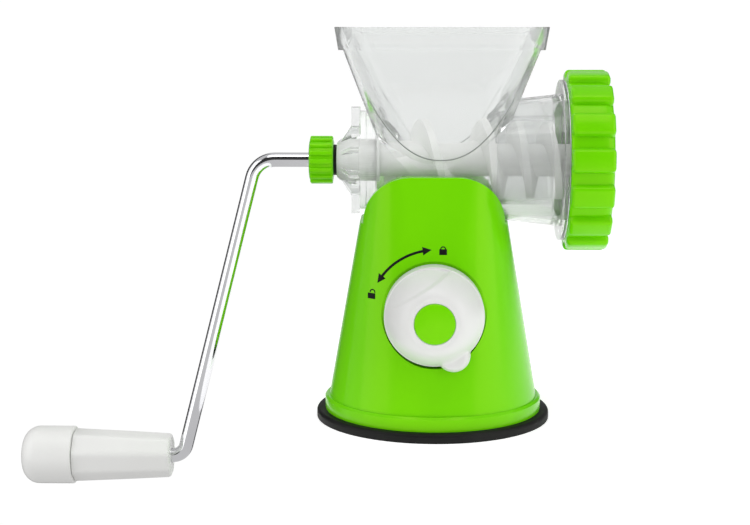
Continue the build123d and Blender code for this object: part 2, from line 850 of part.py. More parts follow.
with BuildPart() as knob_screw:
    with BuildSketch(Plane.XZ.offset(shaft_front - knob_screw_length)):
        with Locations((0, knob_height)):
            Circle(screw_radius - fit_gap)
    extrude(amount=knob_screw_length)
    with BuildSketch(Plane.XZ.offset(shaft_front)):
        with Locations((0, knob_height)):
            Circle(screw_head)
    extrude(amount=screw_head_height)
    with BuildSketch(Plane.XZ.offset(shaft_front + screw_head_height)):
        with Locations((0, knob_height)):
            Rectangle(slot_length, slot_width)
            Rectangle(slot_width, slot_length)
    extrude(amount=-slot_depth, mode=Mode.SUBTRACT)
save(knob_screw.part, "knob_screw")

with BuildPart() as knob_cap:
    cap_back = knob_front - knob_recess
    with BuildSketch(Plane.YZ):
        with BuildLine():
            Polyline(
                (-knob_front - cap_disc_edge, knob_height + cap_disc_radius - cap_disc_edge),
                (-knob_front, knob_height + cap_disc_radius),
                (-cap_back, knob_height + cap_disc_radius),
                (-cap_back, knob_height),
                (-knob_front - cap_disc_crown, knob_height),
            )
            ThreePointArc(
                (-knob_front - cap_disc_crown, knob_height),
                (-knob_front - 0.8 * cap_disc_crown, knob_height + cap_disc_radius / 2),
                (-knob_front - cap_disc_edge, knob_height + cap_disc_radius - cap_disc_edge),
            )
        make_face()
    revolve(axis=knob_axis)
save(knob_cap.part, "knob_cap")

# ---- Lift: yoke round the cam, stem with its head in the pad, jam nuts and return spring ----
with BuildPart() as lift_yoke:
    with BuildSketch(Plane.XZ.offset(-yoke_thickness / 2)):
        frame_height = window_top - window_floor
        with Locations((0, (window_top + window_floor) / 2)):
            RectangleRounded(2 * (window_half + yoke_bar), frame_height + 2 * yoke_bar, yoke_corner)
            Rectangle(2 * window_half, frame_height, mode=Mode.SUBTRACT)
    extrude(amount=yoke_thickness)
    with BuildSketch(Plane.XY.offset(window_floor - yoke_bar - eps)):
        Circle(stem_radius + face_gap / 2)
    extrude(amount=yoke_bar + 2 * eps, mode=Mode.SUBTRACT)
    with BuildSketch(Plane.XY.offset(window_floor - yoke_bar)):
        Circle(stem_radius + yoke_collar)
        Circle(stem_radius + face_gap / 2, mode=Mode.SUBTRACT)
    extrude(amount=yoke_bar)
save(lift_yoke.part, "lift_yoke")

head_foot = pad_thickness - stem_head_thickness
with BuildPart() as lift_stem:
    with BuildSketch(Plane.XY.offset(head_foot)):
        Circle(stem_head_radius)
    extrude(amount=stem_head_thickness)
    with BuildSketch(Plane.XY.offset(head_foot)):
        Circle(stem_radius)
    extrude(amount=stem_top - head_foot)
    chamfer(lift_stem.edges().filter_by(GeomType.CIRCLE).sort_by(Axis.Z)[-1], stem_chamfer)
save(lift_stem.part, "lift_stem")

with BuildPart() as stem_nuts:
    for foot in (window_floor - yoke_bar - jam_nut_thickness, window_floor):
        with BuildSketch(Plane.XY.offset(foot)):
            RegularPolygon(stem_radius + jam_nut_wall, 6)
            Circle(stem_radius + fit_gap, mode=Mode.SUBTRACT)
        extrude(amount=jam_nut_thickness)
save(stem_nuts.part, "stem_nuts")

with BuildPart() as return_spring:
    spring_foot = pad_thickness + spring_wire / 2 + spring_gap
    spring_length = mechanism_height - spring_foot - spring_wire / 2 - spring_gap
    with BuildLine() as coil:
        Helix(pitch=spring_pitch, height=spring_length, radius=spring_radius, center=(0, 0, spring_foot))
    with BuildSketch(Plane(origin=coil.line @ 0, z_dir=coil.line % 0)):
        Circle(spring_wire / 2)
    sweep(path=coil.line, is_frenet=True)
save(return_spring.part, "return_spring")

# ---- Feed screw and what turns with it ----
with BuildPart() as auger:
    add(rod(screw_rear, screw_front, screw_core))
    for start, pitch, turns, turned_by in (
        (screw_start, feed_pitch, feed_turns, 180),
        (pitch_change, screw_pitch, screw_turns, 0),
    ):
        add(flight(start, pitch, turns).rotate(barrel_axis, turned_by))
    add(rod(screw_rear - eps, spindle_front, spindle_radius), mode=Mode.SUBTRACT)
    with BuildSketch(Plane.YZ.offset(screw_front - knife_socket_depth)):
        with Locations((0, axis_height)):
            Rectangle(knife_hole, knife_hole)
    extrude(amount=knife_socket_depth + eps, mode=Mode.SUBTRACT)
save(auger.part, "auger")

with BuildPart() as thrust_washer:
    add(tube(bush_front + face_gap, screw_rear, screw_core, spindle_radius + face_gap / 2))
save(thrust_washer.part, "thrust_washer")

with BuildPart() as bearing_bush:
    add(
        turned(
            [
                (nose_tip, spindle_radius + running_gap),
                (bush_front, spindle_radius + running_gap),
                (bush_front, spindle_radius + bush_wall + bush_flange),
                (feed_rear, spindle_radius + bush_wall + bush_flange),
                (feed_rear, spindle_radius + bush_wall),
                (nose_tip, spindle_radius + bush_wall),
            ]
        )
    )
save(bearing_bush.part, "bearing_bush")

with BuildPart() as drive_spindle:
    add(rod(spindle_rear, spindle_front, spindle_radius))
    with BuildSketch(Plane.YZ.offset(spindle_rear - eps)):
        with Locations((0, axis_height)):
            Rectangle(socket + 2 * fit_gap, socket + 2 * fit_gap)
    extrude(amount=spindle_socket_depth + eps, mode=Mode.SUBTRACT)
save(drive_spindle.part, "drive_spindle")

with BuildPart() as knife_pin:
    with BuildSketch(Plane.YZ.offset(screw_front - knife_socket_depth)):
        with Locations((0, axis_height)):
            Rectangle(knife_square, knife_square)
    extrude(amount=knife_front - screw_front + knife_socket_depth)
    add(rod(knife_front - eps, plate_front - 1, pin_end_radius))
save(knife_pin.part, "knife_pin")

with BuildPart() as cross_knife:
    with BuildSketch(Plane.YZ.offset(knife_front - knife_thickness)):
        with Locations((0, axis_height)):
            Circle(knife_hub)
            with PolarLocations(0, 4):
                Polygon(
                    (0, -knife_root_half),
                    (knife_tip, -knife_tip_back),
                    (knife_tip, knife_tip_edge),
                    (0, knife_root_half),
                    align=None,
                )
            Rectangle(knife_hole, knife_hole, mode=Mode.SUBTRACT)
    extrude(amount=knife_thickness)
save(cross_knife.part, "cross_knife")

with BuildPart() as cutting_plate:
    with BuildSketch(Plane.YZ.offset(plate_rear)):
        with Locations((0, axis_height)):
            Circle(plate_radius)
            Circle(pin_end_radius + running_gap, mode=Mode.SUBTRACT)
            for ring in range(plate_rings):
                with PolarLocations(plate_first_ring + plate_ring_step * ring, plate_ring_holes * (ring + 1)):
                    Circle(plate_hole, mode=Mode.SUBTRACT)
        with Locations((0, axis_height + plate_radius)):
            Rectangle(plate_key, plate_key + 3 * face_gap, mode=Mode.SUBTRACT)
    extrude(amount=plate_thickness)
save(cutting_plate.part, "cutting_plate")

# ---- Ring nut with its lobes ----
with BuildPart() as ring_nut:
    with BuildSketch(Plane.YZ.offset(nut_rear)):
        with Locations((0, axis_height)):
            Circle(nut_radius)
            with PolarLocations(nut_radius, nut_lobes, start_angle=180 - first_lobe + 180 / nut_lobes):
                Polygon(
                    (-nut_lobe_depth, -nut_valley_half),
                    (nut_lobe_depth, -nut_valley_mouth_half),
                    (nut_lobe_depth, nut_valley_mouth_half),
                    (-nut_lobe_depth, nut_valley_half),
                    align=None,
                    mode=Mode.SUBTRACT,
                )
        fillet(vertices(), nut_valley_round)
    extrude(amount=nut_length)
    add(
        turned(
            [
                (nut_rear, 0),
                (nut_rear, nut_radius - 1.2),
                (nut_rear + 1.2, nut_radius + 0.1),
                (nut_front - 5.5, nut_radius + 0.1),
                (nut_front - 2.8, nut_radius - 0.7),
                (nut_front - 0.9, nut_radius - 2.2),
                (nut_front, nut_radius - 4.2),
                (nut_front, 0),
            ]
        ),
        mode=Mode.INTERSECT,
    )
    add(
        turned(
            [
                (nut_rear - eps, 0),
                (nut_rear - eps, nut_bore),
                (nut_shoulder, nut_bore),
                (nut_shoulder, nut_opening),
                (nut_front - 2, nut_opening),
                (nut_front + eps, nut_opening + 3),
                (nut_front + eps, 0),
            ]
        ),
        mode=Mode.SUBTRACT,
    )
save(ring_nut.part, "ring_nut")

# ---- Crank: bent rod, union nut, seal, and the grip that spins on it ----
with BuildPart() as crank_arm:
    with BuildLine() as route:
        FilletPolyline(
            (crank_nut_rear - 1, 0, axis_height),
            (crank_elbow, 0, axis_height),
            (grip_elbow, 0, grip_height),
            (rod_end, 0, grip_height),
            radius=[elbow_bend, grip_bend],
        )
    with BuildSketch(Plane(origin=route.line @ 0, z_dir=(-1, 0, 0))):
        Circle(rod_radius)
    sweep(path=route.line)
    add(rod(crank_nut_rear - 1, spindle_rear - face_gap, rod_radius))
    add(rod(collar_face + face_gap / 2, spindle_rear - face_gap, spindle_radius - face_gap))
    with BuildSketch(Plane.YZ.offset(spindle_rear - 2 * eps)):
        with Locations((0, axis_height)):
            Rectangle(socket, socket)
    extrude(amount=socket_bite + 2 * eps)
save(crank_arm.part, "crank_arm")

with BuildPart() as crank_nut:
    with BuildSketch(Plane.YZ.offset(crank_nut_rear)):
        with Locations((0, axis_height)):
            Circle(crank_nut_radius)
            with PolarLocations(crank_nut_radius, crank_nut_ribs):
                Polygon((-1.3, -0.7), (1, -1.5), (1, 1.5), (-1.3, 0.7), align=None, mode=Mode.SUBTRACT)
    extrude(amount=crank_nut_length)
    add(
        turned(
            [
                (crank_nut_rear, 0),
                (crank_nut_rear, crank_nut_radius - 1.6),
                (crank_nut_rear + 1.2, crank_nut_radius + 0.1),
                (seal_rear - 0.9, crank_nut_radius + 0.1),
                (seal_rear, crank_nut_radius - 1.1),
                (seal_rear, 0),
            ]
        ),
        mode=Mode.INTERSECT,
    )
    add(
        turned(
            [
                (crank_nut_rear - eps, 0),
                (crank_nut_rear - eps, rod_radius + face_gap),
                (collar_face, rod_radius + face_gap),
                (collar_face, spindle_radius + face_gap),
                (seal_rear + eps, spindle_radius + face_gap),
                (seal_rear + eps, 0),
            ]
        ),
        mode=Mode.SUBTRACT,
    )
save(crank_nut.part, "crank_nut")

with BuildPart() as seal_washer:
    add(tube(seal_rear, seal_front, seal_radius, spindle_radius + face_gap / 2))
save(seal_washer.part, "seal_washer")


def grip_ring(x, radius):
    """A circle round the grip's axis."""
    with BuildSketch(Plane.YZ.offset(x), mode=Mode.PRIVATE) as outline:
        with Locations((0, grip_height)):
            Circle(radius)
    return outline.sketch


def grip_octagon(x, across):
    """An octagon round the grip's axis, one corner towards -Y."""
    with BuildSketch(Plane.YZ.offset(x), mode=Mode.PRIVATE) as outline:
        with Locations((0, grip_height)):
            RegularPolygon(across / 2, 8)
        fillet(vertices(), sleeve_edge)
    return outline.sketch


with BuildPart() as handle_sleeve:
    loft([grip_octagon(grip_start, sleeve_small), grip_octagon(sleeve_end, sleeve_large)])
    bore = grip_ring(sleeve_end - eps, rod_radius + running_gap)
    extrude(bore, amount=sleeve_length + 2 * eps, mode=Mode.SUBTRACT)
    recess = grip_ring(sleeve_end - eps, spigot_radius + running_gap)
    extrude(recess, amount=grip_recess + eps, mode=Mode.SUBTRACT)
save(handle_sleeve.part, "handle_sleeve")

with BuildPart() as handle_cap:
    extrude(grip_ring(sleeve_end - face_gap, cap_radius), amount=-cap_length)
    fillet(handle_cap.edges().filter_by(GeomType.CIRCLE).sort_by(Axis.X)[0], cap_round)
    fillet(handle_cap.edges().filter_by(GeomType.CIRCLE).sort_by(Axis.X)[-1], 0.8)
    extrude(grip_ring(sleeve_end - face_gap, spigot_radius), amount=grip_recess - spigot_spare)
    hollow = grip_ring(sleeve_end - cap_hollow, spigot_radius - spigot_wall)
    extrude(hollow, amount=grip_recess + cap_hollow, mode=Mode.SUBTRACT)
save(handle_cap.part, "handle_cap")

with BuildPart() as grip_washer:
    washer_face = recess_floor - face_gap - grip_washer_thickness
    extrude(grip_ring(washer_face, rod_radius + washer_lip), amount=grip_washer_thickness)
    washer_hole = grip_ring(washer_face - eps, rod_radius + fit_gap)
    extrude(washer_hole, amount=grip_washer_thickness + 2 * eps, mode=Mode.SUBTRACT)
save(grip_washer.part, "grip_washer")
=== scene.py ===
import json
import math

import bmesh
import bpy
from mathutils import Matrix, Vector
from mathutils.bvhtree import BVHTree


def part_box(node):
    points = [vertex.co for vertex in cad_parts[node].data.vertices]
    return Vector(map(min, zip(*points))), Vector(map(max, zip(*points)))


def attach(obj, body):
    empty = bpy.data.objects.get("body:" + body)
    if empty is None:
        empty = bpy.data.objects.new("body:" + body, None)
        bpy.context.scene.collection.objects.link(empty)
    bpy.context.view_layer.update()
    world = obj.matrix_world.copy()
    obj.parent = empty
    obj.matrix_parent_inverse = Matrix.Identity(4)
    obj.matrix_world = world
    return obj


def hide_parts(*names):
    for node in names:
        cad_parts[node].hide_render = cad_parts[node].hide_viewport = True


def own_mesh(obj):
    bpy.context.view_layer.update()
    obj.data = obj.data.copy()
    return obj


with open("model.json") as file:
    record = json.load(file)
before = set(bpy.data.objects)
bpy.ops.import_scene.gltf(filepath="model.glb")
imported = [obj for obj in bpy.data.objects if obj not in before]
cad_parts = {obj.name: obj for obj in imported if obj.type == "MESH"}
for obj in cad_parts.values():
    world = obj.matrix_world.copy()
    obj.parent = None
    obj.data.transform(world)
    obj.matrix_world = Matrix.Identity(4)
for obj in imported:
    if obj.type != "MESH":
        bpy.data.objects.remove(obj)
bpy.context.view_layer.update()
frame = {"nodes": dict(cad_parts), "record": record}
nodes = frame["nodes"]

MM = 0.001
AXIS_HEIGHT = 143.5 * MM  # the barrel's axis
KNOB_HEIGHT = 65.5 * MM  # the suction knob's axis
TABLE_EDGE = -78 * MM  # the table ends here, so that the crank hangs free beside it


# ---------------------------------------------------------------- shader writing
class Value:
    """An output socket. Arithmetic on it adds Math nodes to its sheet."""

    def __init__(self, sheet, socket):
        self.sheet = sheet
        self.socket = socket

    def _math(self, operation, first, second):
        return self.sheet.node("Math", {"operation": operation}, {0: first, 1: second})

    def __add__(self, other):
        return self._math("ADD", self, other)

    def __radd__(self, other):
        return self._math("ADD", other, self)

    def __sub__(self, other):
        return self._math("SUBTRACT", self, other)

    def __rsub__(self, other):
        return self._math("SUBTRACT", other, self)

    def __mul__(self, other):
        return self._math("MULTIPLY", self, other)

    def __rmul__(self, other):
        return self._math("MULTIPLY", other, self)


class Sheet:
    """A material and the nodes written on it."""

    def __init__(self, name):
        self.material = bpy.data.materials.new(name)
        self.material.use_nodes = True
        self.tree = self.material.node_tree
        self.tree.nodes.clear()

    def node(self, kind, settings=None, sockets=None, output=0):
        """Adds a node: its settings first, then the values or links of its sockets."""
        made = self.tree.nodes.new("ShaderNode" + kind)
        for key, setting in (settings or {}).items():
            if key == "stops":
                self._stops(made.color_ramp, setting)
            else:
                setattr(made, key, setting)
        for key, value in (sockets or {}).items():
            if isinstance(value, Value):
                self.tree.links.new(value.socket, made.inputs[key])
            else:
                made.inputs[key].default_value = value
        return Value(self, made.outputs[output])

    @staticmethod
    def _stops(ramp, stops):
        while len(ramp.elements) < len(stops):
            ramp.elements.new(0.5)
        for element, (place, shade) in zip(ramp.elements, stops):
            element.position = place
            element.color = (shade, shade, shade, 1)

    def place(self, scale):
        """Object coordinates, stretched."""
        coordinates = self.node("TexCoord", output=3)
        return self.node("Mapping", None, {"Vector": coordinates, "Scale": scale})

    def noise(self, scale, detail=2.0, roughness=0.5, stretch=(1, 1, 1)):
        sockets = {
            "Vector": self.place(stretch),
            "Scale": scale,
            "Detail": detail,
            "Roughness": roughness,
        }
        return self.node("TexNoise", None, sockets)

    def ramp(self, value, *stops):
        return self.node("ValToRGB", {"stops": stops}, {"Fac": value})

    def blend(self, mask, first, second):
        sockets = {0: mask, 6: colour(first), 7: colour(second)}
        return self.node("Mix", {"data_type": "RGBA"}, sockets, output=2)

    def bump(self, height, strength, distance):
        sockets = {"Height": height, "Strength": strength, "Distance": distance}
        return self.node("Bump", None, sockets)

    def finish(self, **sockets):
        """Ends the sheet with one Principled shader."""
        named = {key.replace("_", " "): value for key, value in sockets.items()}
        shader = self.node("BsdfPrincipled", None, named)
        out = self.tree.nodes.new("ShaderNodeOutputMaterial")
        self.tree.links.new(shader.socket, out.inputs["Surface"])
        return self.material


def colour(value):
    """A colour as a socket takes it: links pass, and three numbers get an alpha."""
    return value if isinstance(value, Value) else (*value, 1.0)


# ---------------------------------------------------------------- materials
PLASTIC_IOR = 1.45


def moulded_plastic(name, shade, deep, roughness, sheen=(1, 1, 1)):
    """Glossy injection-moulded plastic: faint flow tone, orange-peel skin, fine handling scuffs."""
    peel_strength = 0.03
    peel_depth = 0.2 * MM
    haze_roughness = 0.06
    scuff_roughness = 0.05
    scuff_relief = 0.35
    sheet = Sheet(name)
    flow = sheet.noise(22, detail=3.0, stretch=(1, 1, 0.45))
    tone = sheet.blend(sheet.ramp(flow, (0.35, 0.0), (0.7, 1.0)), shade, deep)
    haze = sheet.noise(160, detail=4.0)
    scratch = sheet.noise(70, detail=6.0, roughness=0.75, stretch=(9, 9, 1))
    fine = sheet.ramp(scratch, (0.60, 0.0), (0.72, 1.0))
    skin = sheet.noise(700, detail=2.0)
    return sheet.finish(
        Base_Color=tone,
        Roughness=roughness + (haze - 0.5) * haze_roughness + fine * scuff_roughness,
        Normal=sheet.bump(skin + fine * scuff_relief, peel_strength, peel_depth),
        IOR=PLASTIC_IOR,
        Specular_Tint=colour(sheen),
    )


def clear_plastic(name, tint):
    """Clear moulding with faint flow ripples and a trace of handling haze."""
    polished = 0.055
    haze_roughness = 0.05
    sheet = Sheet(name)
    ripple = sheet.noise(30, detail=2.0, stretch=(1, 1, 0.4))
    haze = sheet.ramp(sheet.noise(90, detail=4.0), (0.45, 0.0), (0.8, 1.0))
    return sheet.finish(
        Base_Color=colour(tint),
        Roughness=polished + haze * haze_roughness,
        Normal=sheet.bump(ripple, 0.08, 0.6 * MM),
        IOR=PLASTIC_IOR,
        Transmission_Weight=0.9,
    )


def rubber(name, shade, dust):
    """Matt black rubber with a fine grain and a little dust."""
    clean_roughness = 0.55
    dust_roughness = 0.2
    sheet = Sheet(name)
    bloom = sheet.ramp(sheet.noise(45, detail=5.0), (0.45, 0.0), (0.75, 1.0))
    grain = sheet.noise(1500, detail=2.0)
    return sheet.finish(
        Base_Color=sheet.blend(bloom, shade, dust),
        Roughness=clean_roughness + bloom * dust_roughness,
        Normal=sheet.bump(grain, 0.12, 0.2 * MM),
        Specular_IOR_Level=0.22,
    )


def metal(name, shade, deep, roughness, stretch, strength):
    """Bare or plated steel, with a grain drawn out along one way."""
    stain_roughness = 0.04
    sheet = Sheet(name)
    grain = sheet.noise(180, detail=4.0, stretch=stretch)
    stain = sheet.ramp(sheet.noise(35, detail=4.0), (0.4, 0.0), (0.8, 1.0))
    return sheet.finish(
        Base_Color=sheet.blend(stain, shade, deep),
        Roughness=roughness + grain * roughness + stain * stain_roughness,
        Normal=sheet.bump(grain, strength, 0.2 * MM),
        Metallic=1.0,
    )


def printed_ink():
    """Pad-printed black ink, a touch uneven."""
    thick_roughness = 0.5
    thin_roughness = 0.12
    sheet = Sheet("printed_ink")
    uneven = sheet.noise(900, detail=3.0)
    return sheet.finish(
        Base_Color=sheet.blend(uneven, (0.003, 0.003, 0.003), (0.008, 0.009, 0.007)),
        Roughness=thick_roughness + uneven * thin_roughness,
        Specular_IOR_Level=0.15,
        Normal=sheet.bump(uneven, 0.06, 0.1 * MM),
    )


GREEN = moulded_plastic(
    "green_plastic", (0.158, 0.640, 0.001), (0.136, 0.600, 0.001), 0.2, sheen=(1.0, 0.72, 0.17)
)
WHITE = moulded_plastic("white_plastic", (0.84, 0.84, 0.825), (0.81, 0.81, 0.795), 0.3)
# The same white plastic as the handle, made darker as painted shade because the knob stands nearer the
# lamps.
KNOB_WHITE_PAINTED_SHADE = moulded_plastic("knob_plastic_painted_shade", (0.71, 0.71, 0.70), (0.68, 0.68, 0.67), 0.32)
NYLON = moulded_plastic("natural_nylon", (0.78, 0.79, 0.77), (0.72, 0.73, 0.71), 0.36)
GREY = moulded_plastic("grey_plastic", (0.20, 0.21, 0.22), (0.17, 0.18, 0.19), 0.42)
CLEAR = clear_plastic("clear_plastic", (0.855, 0.865, 0.860))
# Dark grey for the seam beads: painted shade, standing in for the dark line the clear wall shows where
# funnel meets barrel.
SEAM_PAINTED_SHADE = moulded_plastic("seam_painted_shade", (0.22, 0.24, 0.22), (0.32, 0.34, 0.32), 0.3)
BLACK = rubber("black_rubber", (0.004, 0.004, 0.004), (0.012, 0.012, 0.011))
CHROME = metal("chrome_steel", (0.82, 0.82, 0.84), (0.74, 0.74, 0.77), 0.05, (1, 1, 1), 0.01)
STAINLESS = metal("stainless_steel", (0.60, 0.60, 0.61), (0.50, 0.50, 0.51), 0.16, (1, 8, 8), 0.08)
ZINC = metal("zinc_steel", (0.52, 0.52, 0.50), (0.42, 0.42, 0.40), 0.22, (3, 3, 3), 0.06)
INK = printed_ink()

FINISHES = {
    "green_plastic": GREEN,
    "clear_plastic": CLEAR,
    "black_rubber": BLACK,
    "white_plastic": WHITE,
    "grey_plastic": GREY,
    "chrome_steel": CHROME,
    "stainless_steel": STAINLESS,
    "zinc_steel": ZINC,
}
for part in frame["record"]["subparts"]:
    for slot in nodes[part["node"]].material_slots:
        slot.material = FINISHES[part["material_slot"]]
for seen_through in ("bearing_bush", "thrust_washer"):
    for slot in nodes[seen_through].material_slots:
        slot.material = NYLON
nodes["hopper_body"].visible_shadow = False  # light reaches the feed screw through the clear wall


# ---------------------------------------------------------------- mesh helpers
def linked(name, data):
    """An object in the scene, at the origin."""
    made = bpy.data.objects.new(name, data)
    bpy.context.scene.collection.objects.link(made)
    return made


def as_object(name, work, material):
    """Turns a finished bmesh into a smooth object at the origin."""
    bmesh.ops.recalc_face_normals(work, faces=work.faces)
    mesh = bpy.data.meshes.new(name)
    for face in work.faces:
        face.smooth = True
    work.to_mesh(mesh)
    work.free()
    mesh.materials.append(material)
    return linked(name, mesh)


def soft_edges(thing, angle):
    """Smooth faces with crisp edges past an angle."""
    for edge in thing.data.edges:
        edge.use_edge_sharp = False
    thing.data.set_sharp_from_angle(angle=math.radians(angle))


def surface_of(node):
    """The skin of a CAD node, for rays to meet."""
    wall = bmesh.new()
    wall.from_mesh(nodes[node].data)
    skin = BVHTree.FromBMesh(wall)
    wall.free()
    return skin


def skin_rings(work, rings, endless=True, hoops=True):
    """Faces between neighbouring rows of points: endless joins last to first, hoops closes each row."""
    neighbours = zip(rings, rings[1:] + rings[:1]) if endless else zip(rings, rings[1:])
    for here, there in neighbours:
        for k in range(len(here) if hoops else len(here) - 1):
            after = (k + 1) % len(here)
            work.faces.new((here[k], here[after], there[after], there[k]))


def lathe(name, outline, facets, material):
    """A closed ring turned about X at height zero, from (x, radius) points."""
    work = bmesh.new()
    rings = []
    for step in range(facets):
        angle = 2 * math.pi * step / facets
        way = (-math.cos(angle), math.sin(angle))
        rings.append([work.verts.new((x, way[0] * r, way[1] * r)) for x, r in outline])
    skin_rings(work, rings)
    return as_object(name, work, material)


def edge_round(face, way, level, steps):
    """Outline points from steps in millimetres: in from a face, and down from a level."""
    return [(face + way * along * MM, level - down * MM) for along, down in steps]


def rounded_bar(name, start, end, base, tip, base_width, tip_width, edge, material):
    """One bar along X that stands out from the axis towards -Y, with rounded edges."""
    work = bmesh.new()
    corners = []
    for x in (start, end):
        for radius, width in ((base, base_width), (tip, tip_width)):
            for side in (-1, 1):
                corners.append(work.verts.new((x, -radius, side * width / 2)))
    a, b, c, d, e, f, g, h = corners
    for face in ((a, b, d, c), (e, g, h, f), (a, e, f, b), (c, d, h, g), (a, c, g, e), (b, f, h, d)):
        work.faces.new(face)
    bmesh.ops.bevel(work, geom=list(work.edges), offset=edge, segments=3, profile=0.5, affect="EDGES")
    return as_object(name, work, material)


def grown(thing, maker, tree, name, inputs):
    """Runs a Geometry Nodes tree on a thing, which it uses up, and keeps the result as a plain mesh."""
    maker.node_group = tree
    for socket, value in inputs:
        maker[socket.identifier] = value
    bpy.context.view_layer.update()
    evaluated = thing.evaluated_get(bpy.context.evaluated_depsgraph_get())
    mesh = bpy.data.meshes.new_from_object(evaluated)
    thing.modifiers.remove(maker)
    bpy.data.objects.remove(thing)
    return linked(name, mesh)


def ring_of_bars(name, core, bar, count, first, height, material):
    """Geometry Nodes: a core with a bar repeated round the barrel axis, set at the axis' height."""
    tree = bpy.data.node_groups.new(name + "_bars", "GeometryNodeTree")
    sockets = {}
    for label, kind in (
        ("Core", "NodeSocketGeometry"),
        ("Bar", "NodeSocketObject"),
        ("Count", "NodeSocketInt"),
        ("First angle", "NodeSocketFloat"),
        ("Axis height", "NodeSocketFloat"),
        ("Finish", "NodeSocketMaterial"),
    ):
        sockets[label] = tree.interface.new_socket(label, in_out="INPUT", socket_type=kind)
    tree.interface.new_socket("Geometry", in_out="OUTPUT", socket_type="NodeSocketGeometry")

    def add(kind, inputs=None, **settings):
        made = tree.nodes.new(kind)
        for key, setting in settings.items():
            setattr(made, key, setting)
        for key, value in (inputs or {}).items():
            if isinstance(value, bpy.types.NodeSocket):
                tree.links.new(value, made.inputs[key])
            else:
                made.inputs[key].default_value = value
        return made

    given = add("NodeGroupInput").outputs
    spots = add("GeometryNodeMeshLine", {"Count": given["Count"], "Offset": (0, 0, 0)})
    shape = add("GeometryNodeObjectInfo", {"Object": given["Bar"]})
    order = add("GeometryNodeInputIndex")
    step = add("ShaderNodeMath", {0: 2 * math.pi, 1: given["Count"]}, operation="DIVIDE")
    turn = add("ShaderNodeMath", {0: order.outputs[0], 1: step.outputs[0]}, operation="MULTIPLY")
    angle = add("ShaderNodeMath", {0: turn.outputs[0], 1: given["First angle"]}, operation="ADD")
    spin = add("ShaderNodeCombineXYZ", {"X": angle.outputs[0]})
    instances = {
        "Points": spots.outputs[0],
        "Instance": shape.outputs["Geometry"],
        "Rotation": spin.outputs[0],
    }
    bars = add("GeometryNodeInstanceOnPoints", instances)
    joined = add("GeometryNodeJoinGeometry")
    tree.links.new(bars.outputs[0], joined.inputs[0])
    tree.links.new(given["Core"], joined.inputs[0])
    lift = add("ShaderNodeCombineXYZ", {"Z": given["Axis height"]})
    placing = {"Geometry": joined.outputs[0], "Translation": lift.outputs[0]}
    placed = add("GeometryNodeTransform", placing)
    real = add("GeometryNodeRealizeInstances", {"Geometry": placed.outputs[0]})
    painting = {"Geometry": real.outputs[0], "Material": given["Finish"]}
    finish = add("GeometryNodeSetMaterial", painting)
    out = add("NodeGroupOutput")
    tree.links.new(finish.outputs[0], out.inputs[0])

    chosen = (
        (sockets["Bar"], bar),
        (sockets["Count"], count),
        (sockets["First angle"], first),
        (sockets["Axis height"], height),
        (sockets["Finish"], material),
    )
    made = grown(core, core.modifiers.new("bars", "NODES"), tree, name, chosen)
    bpy.data.objects.remove(bar)
    soft_edges(made, 35)
    return made


def ridden(thing, body, slot, *replaced):
    """Puts a piece on its body and hides the CAD nodes it stands in for. The slot is not used."""
    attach(thing, body)
    if replaced:
        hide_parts(*replaced)
    return thing


# ---------------------------------------------------------------- lobed outlet nut
def outlet_nut():
    low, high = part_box("ring_nut")
    rear, front = low[0], high[0]
    outer = (high[2] - low[2]) / 2 + 0.2 * MM  # the box's top falls between two lobes
    valley = outer - 3.5 * MM  # between the lobes
    bore = outer - 7.4 * MM
    opening = bore - 8.8 * MM  # the hole that the plate shows through
    shoulder = front - 8.2 * MM  # the step that holds the plate
    lobe_count = 15
    first_lobe = math.radians(-4.5)
    rear_round = ((0.0, 1.4), (0.5, 0.5), (1.4, 0.0))
    front_round = ((4.6, 0.0), (2.2, 0.7), (0.7, 2.2), (0.1, 4.4))
    mouth_round = ((0.0, -5.0), (0.2, -3.6), (1.0, -2.2), (2.6, -0.8), (4.0, 0.0))
    outline = [
        (rear, bore),
        *edge_round(rear, 1, valley, rear_round),
        *edge_round(front, -1, valley, front_round),
        *edge_round(front, -1, opening, mouth_round),
        (shoulder, opening),
        (shoulder, bore),
    ]
    core = lathe("outlet_nut_core", outline, 180, GREEN)
    lobe = rounded_bar(
        "outlet_nut_lobe",
        start=rear + 0.2 * MM,
        end=front - 0.3 * MM,
        base=valley - 2.6 * MM,
        tip=outer,
        base_width=14.2 * MM,
        tip_width=11.6 * MM,
        edge=2.0 * MM,
        material=GREEN,
    )
    nut = ring_of_bars("outlet_nut", core, lobe, lobe_count, first_lobe, AXIS_HEIGHT, GREEN)
    ridden(nut, "outlet_nut", "green_plastic", "ring_nut")


# ---------------------------------------------------------------- ribbed union nut
def union_nut():
    low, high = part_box("crank_nut")
    rear, front = low[0], high[0]
    outer = (high[2] - low[2]) / 2
    barrel = outer - 1.3 * MM  # between the ribs
    bore = 6.3 * MM
    hole = 4.3 * MM  # for the rod
    floor = rear + 2.0 * MM  # the wall that the rod's hole goes through
    rib_count = 16
    rear_round = ((0.0, 1.6), (0.4, 0.6), (1.4, 0.0))
    front_round = ((1.2, 0.0), (0.3, 0.5), (0.0, 1.3))
    outline = [
        (rear, hole),
        *edge_round(rear, 1, barrel, rear_round),
        *edge_round(front, -1, barrel, front_round),
        (front, bore),
        (floor, bore),
        (floor, hole),
    ]
    core = lathe("union_nut_core", outline, 96, GREEN)
    rib = rounded_bar(
        "union_nut_rib",
        start=rear + 0.5 * MM,
        end=front - 0.4 * MM,
        base=barrel - 1.0 * MM,
        tip=outer,
        base_width=3.4 * MM,
        tip_width=2.5 * MM,
        edge=0.7 * MM,
        material=GREEN,
    )
    nut = ring_of_bars("union_nut", core, rib, rib_count, 0.0, AXIS_HEIGHT, GREEN)
    ridden(nut, "crank_union", "green_plastic", "crank_nut")


